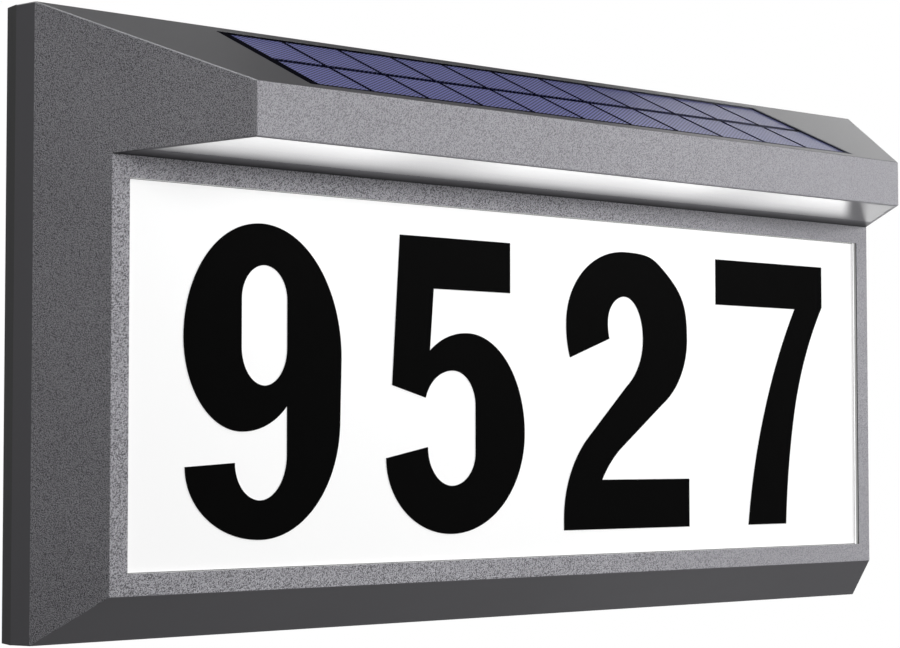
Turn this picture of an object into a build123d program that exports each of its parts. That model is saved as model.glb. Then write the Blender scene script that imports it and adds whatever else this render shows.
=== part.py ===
from build123d import *
from math import atan, degrees, hypot, radians, tan
import os

# A wall-mounted house number sign. A lamp in its hood lights the numbers from above, and a solar
# panel on top of the hood charges its battery.
# Sizes are in millimetres. X runs along the sign, to the right as seen from the front. Y runs into
# the wall, and the sign's rear face lies at Y = 0. Z is up. The origin is midway between the entry
# circles of the two keyholes.

# ---- Driving sizes: housing ----
width = 320.0            # rim at its front edge, left to right
height = 160.0           # rim at its front edge, bottom to top
hang_height = 112.0      # entry circles of the keyholes above the bottom edge
cover_edge = 4.8         # depth of the back cover's outer edge
rim_side = 8.2           # depth of the front housing's straight side
edge_draft = 0.25        # how far the parting line stands proud of the rim
bevel_depth = 16.7       # rim to the frame's front face, along Y
bevel_inset = 12.2       # the same bevel, across
hood_reach = 30.0        # frame's front face to the hood's front face
fascia_drop = 21.7       # top of the rim down to the top of the hood's front face
fascia_height = 13.7     # hood's front face, top to bottom
soffit_fall = 3.3        # how much lower the soffit is at the frame than at the front
wall = 3.0
edge_round = 0.4         # rounding of the moulding's outer edges
recess_floor = 2.0       # moulded floor under the number plate and under the solar panel
recess_wall = 2.4        # moulded wall round these two recesses
fit_gap = 0.2            # clearance round a panel in its recess

# ---- Driving sizes: number plate and digits ----
border_side = 5.3        # frame beside the plate's window
border_low = 5.5
border_high = 5.5
plate_set_back = 1.6     # frame's front face to the plate's face
plate_thickness = 2.0
tape_thickness = 0.5
tape_width = 6.0
digit_thickness = 0.3
digit_rise = 7.3         # lower edge of the window to the foot of the digits
digit_drop = 8.8         # head of the digits to the upper edge of the window
digit_margin_left = 17.5
digit_margin_right = 16.4
digit_tuck = 3.2         # the 7 stands this much closer to its neighbour

# ---- Driving sizes: solar panel ----
panel_length = 213.6
panel_width = 44.1       # down the slope
panel_margin = 4.1       # top edge of the rim to the panel, down the slope
panel_board = 1.6
panel_cover = 0.6
cell_columns = 11
cell_rows = 2
cell_gap_x = 1.4
cell_gap_y = 2.6
cell_border_left = 3.2   # left end of the panel to its cells
cell_border_right = 1.2
cell_border_long = 0.9   # along the panel's long sides
cell_thickness = 0.25
cell_clearance = 0.05    # over the cells, under the resin
panel_lead_x = 62.0

# ---- Driving sizes: lamp ----
lens_lip = 1.2           # hood's front face to the lens
lens_side = 1.5          # bevelled side of the hood to the lens
lens_width = 21.5        # front to back
lens_thickness = 1.8
lens_ledge = 2.5         # ledge that the lens lies on
led_height = 9.0         # soffit up to the lamp's board
led_row = 10.5           # hood's front edge back to the middle of the lamp's board
led_board_length = 224.0
led_board_width = 11.0
led_board_thickness = 1.2
led_count = 12
led_pitch = 18.0
led_length = 3.5
led_width = 2.8
led_thickness = 0.8
led_post_radius = 3.0

# ---- Driving sizes: back cover ----
cover_floor = 2.8
tongue_gap = 0.4
tongue_wall = 1.6
tongue_height = 3.0
groove_width = 1.4
groove_depth = 1.0
gasket_gap = 0.1
screw_inset = 9.8        # rim to the axis of the screws along it
screw_length = 10.0
screw_radius = 1.45
screw_head_radius = 2.9
screw_head_height = 2.0
screw_head_sink = 0.2    # head below the cover's rear face
screw_gap = 0.25         # round the shank in a clearance hole
head_gap = 0.4           # round the head in its counterbore
thread_gap = 0.05        # round the shank in its boss
shank_sides = 8          # a screw's shank is a plain prism inside its thread's circle
post_radius = 3.6
pad_side = 9.0
keyhole_spacing = 200.0
keyhole_entry = 5.0      # radius
keyhole_slot = 2.6       # radius
keyhole_rise = 9.0       # entry circle up to the slot's end
pocket_gap = 1.2         # round the wall screw's head
pocket_depth = 6.0
pocket_wall = 1.6
rib_thickness = 1.6
rib_height = 4.0
rib_spacing = 31.0

# ---- Driving sizes: switch ----
button_x = 52.0
button_z = -55.0
button_radius = 5.0
button_gap = 0.3
button_sink = 1.2        # button's face below the cover's rear face
button_travel = 1.2
button_flange = 1.6      # how far its flange stands out
flange_thickness = 1.0
stem_radius = 1.6
stem_length = 1.5
finger_radius = 9.5      # finger dish round the button
finger_depth = 0.8
collar_wall = 1.5
plunger_radius = 1.75
plunger_out = 2.0        # plunger above its switch body at rest
plunger_in = 3.0         # plunger inside its switch body at rest
plunger_gap = 0.15
switch_size = 8.5
switch_height = 5.6

# ---- Driving sizes: electronics ----
board_length = 64.0
board_width = 38.0
board_thickness = 1.6
board_shift = -10.0      # middle of the board to the left of the button
board_post_inset = 4.0
board_post_radius = 3.0
board_screw_radius = 1.2
board_screw_length = 6.0
board_head_radius = 2.2
board_head_height = 1.4
chip_length = 5.0
chip_width = 4.0
chip_height = 1.5
coil_side = 7.3          # shielded, in a square block
coil_height = 4.0
capacitor_radius = 3.1
capacitor_height = 7.0
socket_length = 7.5
socket_width = 6.0
socket_height = 5.5
socket_wall = 0.8
plug_length = 6.0
lead_width = 2.0         # flat two-core lead
lead_thickness = 0.9
lead_run = 6.0           # straight run of a lead at its ends
arc_share = 0.45         # share of a straight run that an arc at its end takes

# ---- Driving sizes: battery ----
battery_x = -62.0
battery_z = -62.0
battery_radius = 7.0
battery_length = 49.0
battery_nub_radius = 2.6
battery_nub_length = 1.2
battery_gap = 0.3        # between the two cells
film_thickness = 0.4
film_overhang = 1.6
film_gap = 0.1
tab_thickness = 0.2
tab_width = 5.0
saddle_height = 1.0
saddle_inset = 9.0
stop_height = 9.0
strap_width = 12.0
strap_thickness = 1.3
strap_gap = 0.2
strap_foot = 8.0
strap_post_height = 3.0
strap_post_radius = 3.2

# ---- Levels and lengths worked out from them ----
y_parting = -cover_edge
y_rim = y_parting - rim_side
y_frame = y_rim - bevel_depth
y_hood = y_frame - hood_reach
z_low = -hang_height
z_high = height - hang_height
z_middle = (z_low + z_high) / 2
z_fascia_high = z_high - fascia_drop
z_fascia_low = z_fascia_high - fascia_height
z_soffit_back = z_fascia_low - soffit_fall
side_slope = bevel_inset / bevel_depth
frame_half = width / 2 - bevel_inset
hood_half = frame_half - side_slope * hood_reach

window_width = 2 * (frame_half - border_side)
z_window_low = z_low + bevel_inset + border_low
z_window_high = z_soffit_back - border_high
window_height = z_window_high - z_window_low
z_window = (z_window_low + z_window_high) / 2
recess_depth = plate_set_back + plate_thickness + tape_thickness
y_plate = y_frame + plate_set_back

roof_run = bevel_depth + hood_reach
panel_depth = tape_thickness + panel_board + panel_cover
panel_middle = -(panel_margin + panel_width / 2)

soffit_length = hypot(hood_reach, soffit_fall)
soffit_slope = side_slope * hood_reach / soffit_length

y_floor = -cover_floor
counterbore_depth = screw_head_sink + screw_head_height
y_flange = y_floor - button_gap
y_stem = y_flange - flange_thickness
y_plunger = y_stem - stem_length
y_switch = y_plunger - plunger_out
y_board = y_switch - switch_height
y_board_front = y_board - board_thickness
board_x = button_x + board_shift

# ---- Planes. "Inward" means away from the wall, towards the front of the sign. ----
rear = Plane.XZ
parting = Plane.XZ.offset(-y_parting)
floor = Plane.XZ.offset(-y_floor)
board_rear = Plane.XZ.offset(-y_board)
board_front = Plane.XZ.offset(-y_board_front)
roof = Plane(origin=(0, y_rim, z_high), x_dir=(1, 0, 0), z_dir=(0, -fascia_drop, roof_run))
soffit = Plane(origin=(0, y_hood, z_fascia_low), x_dir=(1, 0, 0), z_dir=(0, soffit_fall, hood_reach))

screw_half = width / 2 - screw_inset
screw_row_low = z_low + screw_inset
screw_row_high = z_high - screw_inset
cover_spots = [
    (x, z)
    for z in (screw_row_low, screw_row_high)
    for x in (-screw_half, 0, screw_half)
]
led_post_x = (led_count // 2 - 1) * led_pitch
led_spots = [(x, led_row) for x in (-led_post_x, 0, led_post_x)]
board_dx = board_length / 2 - board_post_inset
board_dz = board_width / 2 - board_post_inset
board_spots = [(board_x - board_dx, button_z - board_dz), (board_x + board_dx, button_z + board_dz)]
keyhole_spots = [(-keyhole_spacing / 2, 0), (keyhole_spacing / 2, 0)]

os.makedirs("parts", exist_ok=True)


def finish(piece, name):
    """Label a piece and write it to its file."""
    piece.part.label = name
    export_step(piece.part, f"parts/{name}.step")


# ---- The housing's form ----
def side_outline(y_rear):
    """The housing seen from its side, open end at y_rear."""
    flare = edge_draft * (y_rear - y_rim) / rim_side
    return [
        (y_rear, z_high + flare),
        (y_rim, z_high),
        (y_hood, z_fascia_high),
        (y_hood, z_fascia_low),
        (y_frame, z_soffit_back),
        (y_frame, z_low + bevel_inset),
        (y_rim, z_low),
        (y_rear, z_low - flare),
    ]


def plan_outline(y_rear):
    """The housing seen from above, open end at y_rear."""
    flare = edge_draft * (y_rear - y_rim) / rim_side
    half = width / 2
    right = [(half + flare, y_rear), (half, y_rim), (hood_half, y_hood)]
    left = [(-x, y) for x, y in reversed(right)]
    return right + left


def housing_form(inset, y_rear):
    """The form where the side and plan outlines cross, with every wall moved in by inset."""
    with BuildPart() as form:
        with BuildSketch(Plane.YZ):
            with BuildLine():
                Polyline(*side_outline(y_rear), close=True)
            make_face()
            if inset > 0:
                offset(amount=-inset, kind=Kind.INTERSECTION)
        extrude(amount=width, both=True)
        with BuildSketch(Plane.XY):
            with BuildLine():
                Polyline(*plan_outline(y_rear), close=True)
            make_face()
            if inset > 0:
                offset(amount=-inset, kind=Kind.INTERSECTION)
        extrude(amount=2 * height, both=True, mode=Mode.INTERSECT)
    return form.part


def posts(plane, spots, radius):
    """Round posts that rise from a plane and run into the housing's walls."""
    with BuildPart() as group:
        with BuildSketch(plane):
            with Locations(*spots):
                Circle(radius)
        extrude(amount=height)
        add(housing_form(wall / 2, y_parting + wall), mode=Mode.INTERSECT)
    return group.part


def lens_outline():
    """Corners of the lens on the soffit: it follows the hood's front and its bevelled sides."""
    front = lens_lip
    back = lens_lip + lens_width
    front_half = hood_half + soffit_slope * front - lens_side
    back_half = hood_half + soffit_slope * back - lens_side
    return [(-front_half, front), (front_half, front), (back_half, back), (-back_half, back)]


pilot_radius = screw_radius + thread_gap
pilot_depth = screw_length - (cover_edge - counterbore_depth) + 1.5
board_pilot_radius = board_screw_radius + thread_gap
board_pilot_depth = board_screw_length - board_thickness + 1.0

with BuildPart() as front_housing:
    add(housing_form(0, y_parting))
    rear_edges = front_housing.faces().sort_by(Axis.Y)[-1].edges()
    inner_corner = front_housing.edges().filter_by(
        lambda edge: (edge.center() - Vector(0, y_frame, z_soffit_back)).length < edge_round
    )
    outer_edges = [
        edge
        for edge in front_housing.edges()
        if edge not in rear_edges and edge not in inner_corner
    ]
    fillet(outer_edges, radius=edge_round)
    add(housing_form(wall, y_parting + 2 * wall), mode=Mode.SUBTRACT)
    add(posts(parting, cover_spots, post_radius))
    add(posts(soffit.offset(led_height + led_board_thickness), led_spots, led_post_radius))
    # Tray and recess for the number plate
    with BuildSketch(Plane.XZ.offset(-(y_frame + wall / 2))):
        with Locations((0, z_window)):
            Rectangle(window_width + 2 * recess_wall, window_height + 2 * recess_wall)
    extrude(amount=-(recess_depth + recess_floor - wall / 2))
    with BuildSketch(Plane.XZ.offset(-y_frame)):
        with Locations((0, z_window)):
            Rectangle(window_width, window_height)
    extrude(amount=-recess_depth, mode=Mode.SUBTRACT)
    # Tray and recess for the solar panel
    recess_length = panel_length + 2 * fit_gap
    recess_width = panel_width + 2 * fit_gap
    with BuildSketch(roof.offset(-wall / 2)):
        with Locations((0, panel_middle)):
            Rectangle(recess_length + 2 * recess_wall, recess_width + 2 * recess_wall)
    extrude(amount=-(panel_depth + recess_floor - wall / 2))
    with BuildSketch(roof):
        with Locations((0, panel_middle)):
            Rectangle(recess_length, recess_width)
    extrude(amount=-panel_depth, mode=Mode.SUBTRACT)
    with BuildSketch(roof):
        with Locations((panel_lead_x, panel_middle)):
            Circle(lead_width / 2 + fit_gap)
    extrude(amount=-(panel_depth + 2 * recess_floor), mode=Mode.SUBTRACT)
    # Rebate and opening for the lens
    with BuildSketch(soffit):
        with BuildLine():
            Polyline(*lens_outline(), close=True)
        make_face()
        offset(amount=fit_gap, kind=Kind.INTERSECTION)
    extrude(amount=lens_thickness, mode=Mode.SUBTRACT)
    with BuildSketch(soffit):
        with BuildLine():
            Polyline(*lens_outline(), close=True)
        make_face()
        offset(amount=-lens_ledge, kind=Kind.INTERSECTION)
    extrude(amount=2 * wall, mode=Mode.SUBTRACT)
    # Pilot holes
    with BuildSketch(parting):
        with Locations(*cover_spots):
            Circle(pilot_radius)
    extrude(amount=pilot_depth, mode=Mode.SUBTRACT)
    with BuildSketch(soffit.offset(led_height + led_board_thickness)):
        with Locations(*led_spots):
            Circle(board_pilot_radius)
    extrude(amount=board_pilot_depth, mode=Mode.SUBTRACT)
finish(front_housing, "front_housing")

# ---- Back cover ----
cavity_half_x = width / 2 + edge_draft - wall
cavity_half_z = height / 2 + edge_draft - wall
tongue_x = 2 * (cavity_half_x - tongue_gap)
tongue_z = 2 * (cavity_half_z - tongue_gap)
groove_x = 2 * cavity_half_x + wall + groove_width
groove_z = 2 * cavity_half_z + wall + groove_width
well_x = tongue_x - 2 * tongue_wall
well_z = tongue_z - 2 * tongue_wall
pocket_radius = keyhole_entry + pocket_gap
pocket_height = keyhole_rise + 2 * pocket_radius
collar_radius = button_radius + button_flange + button_gap
y_collar = y_stem - button_travel
film_radius = battery_radius + film_gap + film_thickness
pack_height = 2 * battery_radius + battery_gap
pack_half_z = pack_height / 2 + film_gap + film_thickness + battery_radius
pack_length = battery_length + 2 * film_overhang
y_pack = y_floor - saddle_height - film_radius
cell_spots = [(y_pack, battery_z - pack_height / 2), (y_pack, battery_z + pack_height / 2)]
strap_half_z = pack_half_z + strap_gap
strap_spots = [(battery_x, battery_z - strap_half_z - strap_thickness - strap_foot / 2)]
strap_spots.append((battery_x, battery_z + strap_half_z + strap_thickness + strap_foot / 2))

with BuildPart() as back_cover:
    with BuildSketch(Plane(origin=(0, y_parting, 0), x_dir=(-1, 0, 0), z_dir=(0, 1, 0))):
        with Locations((0, z_middle)):
            Rectangle(width + 2 * edge_draft, height + 2 * edge_draft)
    extrude(amount=cover_edge, taper=degrees(atan(edge_draft / cover_edge)))
    fillet(back_cover.faces().sort_by(Axis.Y)[-1].edges(), radius=edge_round)
    with BuildSketch(parting):
        with Locations((0, z_middle)):
            Rectangle(well_x, well_z)
    extrude(amount=-(cover_edge - cover_floor), mode=Mode.SUBTRACT)
    # Tongue that stands inside the front housing
    with BuildSketch(parting):
        with Locations((0, z_middle)):
            Rectangle(tongue_x, tongue_z)
            Rectangle(well_x, well_z, mode=Mode.SUBTRACT)
    extrude(amount=tongue_height)
    with BuildSketch(parting):
        with Locations((0, z_middle)):
            Rectangle(groove_x, groove_z)
            Rectangle(groove_x - 2 * groove_width, groove_z - 2 * groove_width, mode=Mode.SUBTRACT)
    extrude(amount=-groove_depth, mode=Mode.SUBTRACT)
    # Stiffening ribs between the keyhole pockets
    with BuildSketch(floor):
        with GridLocations(rib_spacing, 1, 5, 1):
            Rectangle(rib_thickness, pocket_height)
        Rectangle(4 * rib_spacing + rib_thickness, rib_thickness)
    extrude(amount=rib_height)
    # Pads round the cover screws
    with BuildSketch(floor):
        with Locations(*cover_spots):
            Rectangle(pad_side, pad_side)
    extrude(amount=cover_edge - cover_floor)
    # Sealed pockets behind the keyholes
    with BuildSketch(floor):
        with Locations(*[(x, keyhole_rise / 2) for x, z in keyhole_spots]):
            Rectangle(2 * (pocket_radius + pocket_wall), pocket_height + 2 * pocket_wall)
    extrude(amount=pocket_depth + pocket_wall)
    with BuildSketch(floor):
        with Locations(*[(x, keyhole_rise / 2) for x, z in keyhole_spots]):
            Rectangle(2 * pocket_radius, pocket_height)
    extrude(amount=pocket_depth, mode=Mode.SUBTRACT)
    with BuildSketch(rear):
        with Locations(*keyhole_spots):
            Circle(keyhole_entry)
        with Locations(*[(x, keyhole_rise / 2) for x, z in keyhole_spots]):
            SlotCenterToCenter(keyhole_rise, 2 * keyhole_slot, rotation=90)
    extrude(amount=cover_floor, mode=Mode.SUBTRACT)
    # Collar, hole and finger dish of the button
    with BuildSketch(floor):
        with Locations((button_x, button_z)):
            Circle(collar_radius + collar_wall)
            Circle(collar_radius, mode=Mode.SUBTRACT)
    extrude(amount=y_floor - y_collar)
    with BuildSketch(rear):
        with Locations((button_x, button_z)):
            Circle(button_radius + button_gap)
    extrude(amount=cover_floor, mode=Mode.SUBTRACT)
    with BuildSketch(rear):
        with Locations((button_x, button_z)):
            Circle(finger_radius)
    extrude(amount=finger_depth, mode=Mode.SUBTRACT)
    # Posts of the control board
    with BuildSketch(floor):
        with Locations(*board_spots):
            Circle(board_post_radius)
    extrude(amount=y_floor - y_board)
    with BuildSketch(board_rear):
        with Locations(*board_spots):
            Circle(board_pilot_radius)
    extrude(amount=-board_pilot_depth, mode=Mode.SUBTRACT)
    # Saddles and end stops of the battery, and the posts of its strap
    with BuildSketch(floor):
        with Locations((battery_x, battery_z)):
            with GridLocations(battery_length - 2 * saddle_inset, 1, 2, 1):
                Rectangle(rib_thickness, 2 * pack_half_z)
    extrude(amount=saddle_height)
    with BuildSketch(floor):
        with Locations((battery_x, battery_z)):
            with GridLocations(pack_length + 2 * fit_gap + rib_thickness, 2 * battery_radius, 2, 2):
                Rectangle(rib_thickness, battery_radius)
    extrude(amount=stop_height)
    with BuildSketch(floor):
        with Locations(*strap_spots):
            Circle(strap_post_radius)
    extrude(amount=strap_post_height)
    with BuildSketch(Plane.XZ.offset(strap_post_height - y_floor)):
        with Locations(*strap_spots):
            Circle(board_pilot_radius)
    extrude(amount=-(board_screw_length - strap_thickness + 0.5), mode=Mode.SUBTRACT)
    # Counterbored screw holes
    with BuildSketch(rear):
        with Locations(*cover_spots):
            Circle(screw_radius + screw_gap)
    extrude(amount=cover_edge, mode=Mode.SUBTRACT)
    with BuildSketch(rear):
        with Locations(*cover_spots):
            Circle(screw_head_radius + head_gap)
    extrude(amount=counterbore_depth, mode=Mode.SUBTRACT)
finish(back_cover, "back_cover")

with BuildPart() as cover_gasket:
    with BuildSketch(parting):
        with Locations((0, z_middle)):
            Rectangle(groove_x - 2 * gasket_gap, groove_z - 2 * gasket_gap)
            inner_x = groove_x - 2 * (groove_width - gasket_gap)
            inner_z = groove_z - 2 * (groove_width - gasket_gap)
            Rectangle(inner_x, inner_z, mode=Mode.SUBTRACT)
    extrude(amount=-groove_depth)
finish(cover_gasket, "cover_gasket")


def screws(plane, spots, head_radius, head_height, shank_radius, shank_length):
    """Cross-recessed screws whose heads stand on a plane and whose shanks run through it."""
    with BuildPart() as group:
        with BuildSketch(plane):
            with Locations(*spots):
                Circle(head_radius)
        extrude(amount=head_height)
        with BuildSketch(plane):
            with Locations(*spots):
                RegularPolygon(shank_radius, shank_sides)
        extrude(amount=-shank_length)
        with BuildSketch(plane.offset(head_height)):
            with Locations(*spots):
                Rectangle(head_radius, head_radius / 4)
                Rectangle(head_radius / 4, head_radius)
        extrude(amount=-head_height / 2, mode=Mode.SUBTRACT)
    return group


outward = Plane(origin=(0, -counterbore_depth, 0), x_dir=(-1, 0, 0), z_dir=(0, 1, 0))
cover_screws = screws(
    outward,
    [(-x, z) for x, z in cover_spots],
    screw_head_radius,
    screw_head_height,
    screw_radius,
    screw_length,
)
finish(cover_screws, "cover_screws")

# ---- Number plate ----
with BuildPart() as plate_tape:
    with BuildSketch(Plane.XZ.offset(-(y_plate + plate_thickness))):
        with Locations((0, z_window)):
            Rectangle(window_width - 2 * fit_gap, window_height - 2 * fit_gap)
            inner_x = window_width - 2 * (fit_gap + tape_width)
            inner_z = window_height - 2 * (fit_gap + tape_width)
            Rectangle(inner_x, inner_z, mode=Mode.SUBTRACT)
    extrude(amount=-tape_thickness)
finish(plate_tape, "plate_tape")

with BuildPart() as number_plate:
    with BuildSketch(Plane.XZ.offset(-y_plate)):
        with Locations((0, z_window)):
            Rectangle(window_width - 2 * fit_gap, window_height - 2 * fit_gap)
    extrude(amount=-plate_thickness)
finish(number_plate, "number_plate")

# ---- Digits: each is drawn from its lower left corner, and scaled to its height ----
def quarter(start, end, upright):
    """Quarter of an ellipse from start to end, that leaves start upright or level."""
    centre = (end[0], start[1]) if upright else (start[0], end[1])
    side, pole = (start, end) if upright else (end, start)
    quadrant = {(True, True): 0, (False, True): 90, (False, False): 180, (True, False): 270}
    first = quadrant[(side[0] > centre[0], pole[1] > centre[1])]
    x_radius = abs(end[0] - start[0])
    y_radius = abs(end[1] - start[1])
    EllipticalCenterArc(centre, x_radius, y_radius, start_angle=first, arc_size=90)


def outline_nine():
    """Outer outline of the 9."""
    Line((16.2, 19.9), (0.6, 18.9))
    quarter((0.6, 18.9), (24.5, 0), True)
    quarter((24.5, 0), (51.0, 31), False)
    Line((51.0, 31), (51.4, 47.5))
    quarter((51.4, 47.5), (24.5, 82), True)
    quarter((24.5, 82), (0, 52), False)
    quarter((0, 52), (18.6, 27.9), True)
    ThreePointArc((18.6, 27.9), (26.4, 29.6), (33.2, 34.8))
    Line((33.2, 34.8), (33.2, 22))
    quarter((33.2, 22), (24.4, 10.2), True)
    quarter((24.4, 10.2), (16.2, 19.9), False)


def bowl_nine():
    """Counter of the 9."""
    Line((33.2, 49.8), (33.2, 62.3))
    quarter((33.2, 62.3), (25.7, 71.2), True)
    quarter((25.7, 71.2), (18.2, 62.3), False)
    Line((18.2, 62.3), (18.2, 49.8))
    quarter((18.2, 49.8), (25.7, 39.9), True)
    quarter((25.7, 39.9), (33.2, 49.8), False)


def outline_five():
    Polyline((17.0, 67.7), (46.0, 67.7), (46.0, 82), (4.8, 82), (2.1, 40.8), (14.1, 37.6))
    ThreePointArc((14.1, 37.6), (18.3, 43.4), (24.5, 45.2))
    quarter((24.5, 45.2), (32.8, 35.5), False)
    Line((32.8, 35.5), (32.8, 22.4))
    quarter((32.8, 22.4), (24.0, 13.3), True)
    quarter((24.0, 13.3), (14.9, 24.0), False)
    Line((14.9, 24.0), (0, 21.0))
    quarter((0, 21.0), (24.0, 0), True)
    quarter((24.0, 0), (51.6, 28.0), False)
    quarter((51.6, 28.0), (29.5, 55.8), True)
    ThreePointArc((29.5, 55.8), (22.3, 54.5), (15.6, 50.4))
    Line((15.6, 50.4), (17.0, 67.7))


def outline_two():
    Polyline((0, 3.5), (0, 0), (53.2, 0), (53.2, 14.5), (15.6, 14.5))
    ThreePointArc((15.6, 14.5), (19.4, 19.8), (24.0, 24.0))
    Line((24.0, 24.0), (41.6, 37.0))
    ThreePointArc((41.6, 37.0), (49.4, 45.2), (52.5, 56.5))
    Spline((52.5, 56.5), (49.6, 70), (41.4, 78), (25.5, 82), tangents=((0, 1), (-1, 0)))
    quarter((25.5, 82), (1.1, 60), False)
    ThreePointArc((1.1, 60), (1.4, 55), (2.6, 50.1))
    Line((2.6, 50.1), (18.8, 56.0))
    ThreePointArc((18.8, 56.0), (18.3, 58.4), (18.2, 61))
    quarter((18.2, 61), (25.4, 68.7), True)
    quarter((25.4, 68.7), (33.3, 56.5), False)
    ThreePointArc((33.3, 56.5), (31.4, 48.2), (26.2, 42.0))
    Line((26.2, 42.0), (9.2, 26.0))
    ThreePointArc((9.2, 26.0), (2.5, 15.8), (0, 3.5))


def outline_seven():
    Polyline((37.5, 68), (0, 68), (0, 82), (50.7, 82), (50.7, 69))
    ThreePointArc((50.7, 69), (42.0, 52), (36.8, 35))
    ThreePointArc((36.8, 35), (34.0, 18.5), (32.4, 0))
    Line((32.4, 0), (14.7, 0))
    ThreePointArc((14.7, 0), (17.8, 18), (22.9, 36))
    ThreePointArc((22.9, 36), (29.2, 52), (37.5, 68))


def glyph(outline, bowl=None):
    """A digit's face at its real size, with its lower left corner at the origin."""
    with BuildSketch() as face:
        with BuildLine():
            outline()
        make_face()
        if bowl:
            with BuildLine():
                bowl()
            make_face(mode=Mode.SUBTRACT)
        scale(by=digit_height / face.sketch.bounding_box().size.Y)
    return face.sketch


def digit(face, left):
    """A digit cut from self-adhesive film, on the face of the number plate."""
    foot = Plane((left, y_plate, z_window_low + digit_rise), (1, 0, 0), (0, -1, 0))
    with BuildPart() as film:
        with BuildSketch(foot):
            add(face)
        extrude(amount=digit_thickness)
    return film


digit_height = window_height - digit_rise - digit_drop
nine = glyph(outline_nine, bowl_nine)
five = glyph(outline_five)
two = glyph(outline_two)
seven = glyph(outline_seven)
digit_widths = [face.bounding_box().size.X for face in (nine, five, two, seven)]
digit_space = window_width - digit_margin_left - digit_margin_right - sum(digit_widths)
digit_gap = (digit_space + digit_tuck) / (len(digit_widths) - 1)
left_nine = digit_margin_left - window_width / 2
left_five = left_nine + digit_widths[0] + digit_gap
left_two = left_five + digit_widths[1] + digit_gap
left_seven = window_width / 2 - digit_margin_right - digit_widths[3]

number_9 = digit(nine, left_nine)
number_5 = digit(five, left_five)
number_2 = digit(two, left_two)
number_7 = digit(seven, left_seven)
finish(number_9, "number_9")
finish(number_5, "number_5")
finish(number_2, "number_2")
finish(number_7, "number_7")

# ---- Solar panel ----
panel_bed = roof.offset(-panel_depth)
board_bed = roof.offset(-(panel_board + panel_cover))
cell_bed = roof.offset(-panel_cover)
cells_length = panel_length - cell_border_left - cell_border_right
cells_width = panel_width - 2 * cell_border_long
cell_pitch_x = (cells_length + cell_gap_x) / cell_columns
cell_pitch_y = (cells_width + cell_gap_y) / cell_rows
cell_length = cell_pitch_x - cell_gap_x
cell_width = cell_pitch_y - cell_gap_y
cell_shift = (cell_border_left - cell_border_right) / 2

with BuildPart() as panel_tape:
    with BuildSketch(panel_bed):
        with Locations((0, panel_middle)):
            Rectangle(panel_length, panel_width)
            Rectangle(panel_length - 2 * tape_width, panel_width - 2 * tape_width, mode=Mode.SUBTRACT)
    extrude(amount=tape_thickness)
finish(panel_tape, "panel_tape")

with BuildPart() as panel_backing:
    with BuildSketch(board_bed):
        with Locations((0, panel_middle)):
            Rectangle(panel_length, panel_width)
    extrude(amount=panel_board)
finish(panel_backing, "panel_backing")

with BuildPart() as solar_cells:
    with BuildSketch(cell_bed):
        with Locations((cell_shift, panel_middle)):
            with GridLocations(cell_pitch_x, cell_pitch_y, cell_columns, cell_rows):
                Rectangle(cell_length, cell_width)
    extrude(amount=cell_thickness)
finish(solar_cells, "solar_cells")

with BuildPart() as panel_window:
    with BuildSketch(cell_bed):
        with Locations((0, panel_middle)):
            Rectangle(panel_length, panel_width)
    extrude(amount=panel_cover)
    with BuildSketch(cell_bed):
        with Locations((cell_shift, panel_middle)):
            with GridLocations(cell_pitch_x, cell_pitch_y, cell_columns, cell_rows):
                Rectangle(cell_length, cell_width)
    extrude(amount=cell_thickness + cell_clearance, mode=Mode.SUBTRACT)
finish(panel_window, "panel_window")

# ---- Lamp ----
with BuildPart() as light_lens:
    with BuildSketch(soffit):
        with BuildLine():
            Polyline(*lens_outline(), close=True)
        make_face()
    extrude(amount=lens_thickness)
finish(light_lens, "light_lens")

with BuildPart() as led_board:
    with BuildSketch(soffit.offset(led_height)):
        with Locations((0, led_row)):
            Rectangle(led_board_length, led_board_width)
        with Locations(*led_spots):
            Circle(board_screw_radius + fit_gap, mode=Mode.SUBTRACT)
    extrude(amount=led_board_thickness)
finish(led_board, "led_board")

with BuildPart() as leds:
    with BuildSketch(soffit.offset(led_height)):
        with Locations((0, led_row)):
            with GridLocations(led_pitch, 1, led_count, 1):
                Rectangle(led_length, led_width)
    extrude(amount=-led_thickness)
finish(leds, "leds")

below = Plane(origin=soffit.offset(led_height).origin, x_dir=(-1, 0, 0), z_dir=-soffit.z_dir)
led_screws = screws(
    below,
    [(-x, y) for x, y in led_spots],
    board_head_radius,
    board_head_height,
    board_screw_radius,
    board_screw_length,
)
finish(led_screws, "led_screws")

# ---- Switch ----
with BuildPart() as switch_button:
    with BuildSketch(Plane.XZ.offset(button_sink)):
        with Locations((button_x, button_z)):
            Circle(button_radius)
    extrude(amount=-y_flange - button_sink)
    chamfer(switch_button.faces().sort_by(Axis.Y)[-1].edges(), length=edge_round)
    with BuildSketch(Plane.XZ.offset(-y_flange)):
        with Locations((button_x, button_z)):
            Circle(button_radius + button_flange)
    extrude(amount=flange_thickness)
    with BuildSketch(Plane.XZ.offset(-y_stem)):
        with Locations((button_x, button_z)):
            Circle(stem_radius)
    extrude(amount=stem_length)
finish(switch_button, "switch_button")

with BuildPart() as switch_plunger:
    with BuildSketch(Plane.XZ.offset(-y_plunger)):
        with Locations((button_x, button_z)):
            Circle(plunger_radius)
    extrude(amount=plunger_out + plunger_in)
finish(switch_plunger, "switch_plunger")

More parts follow.
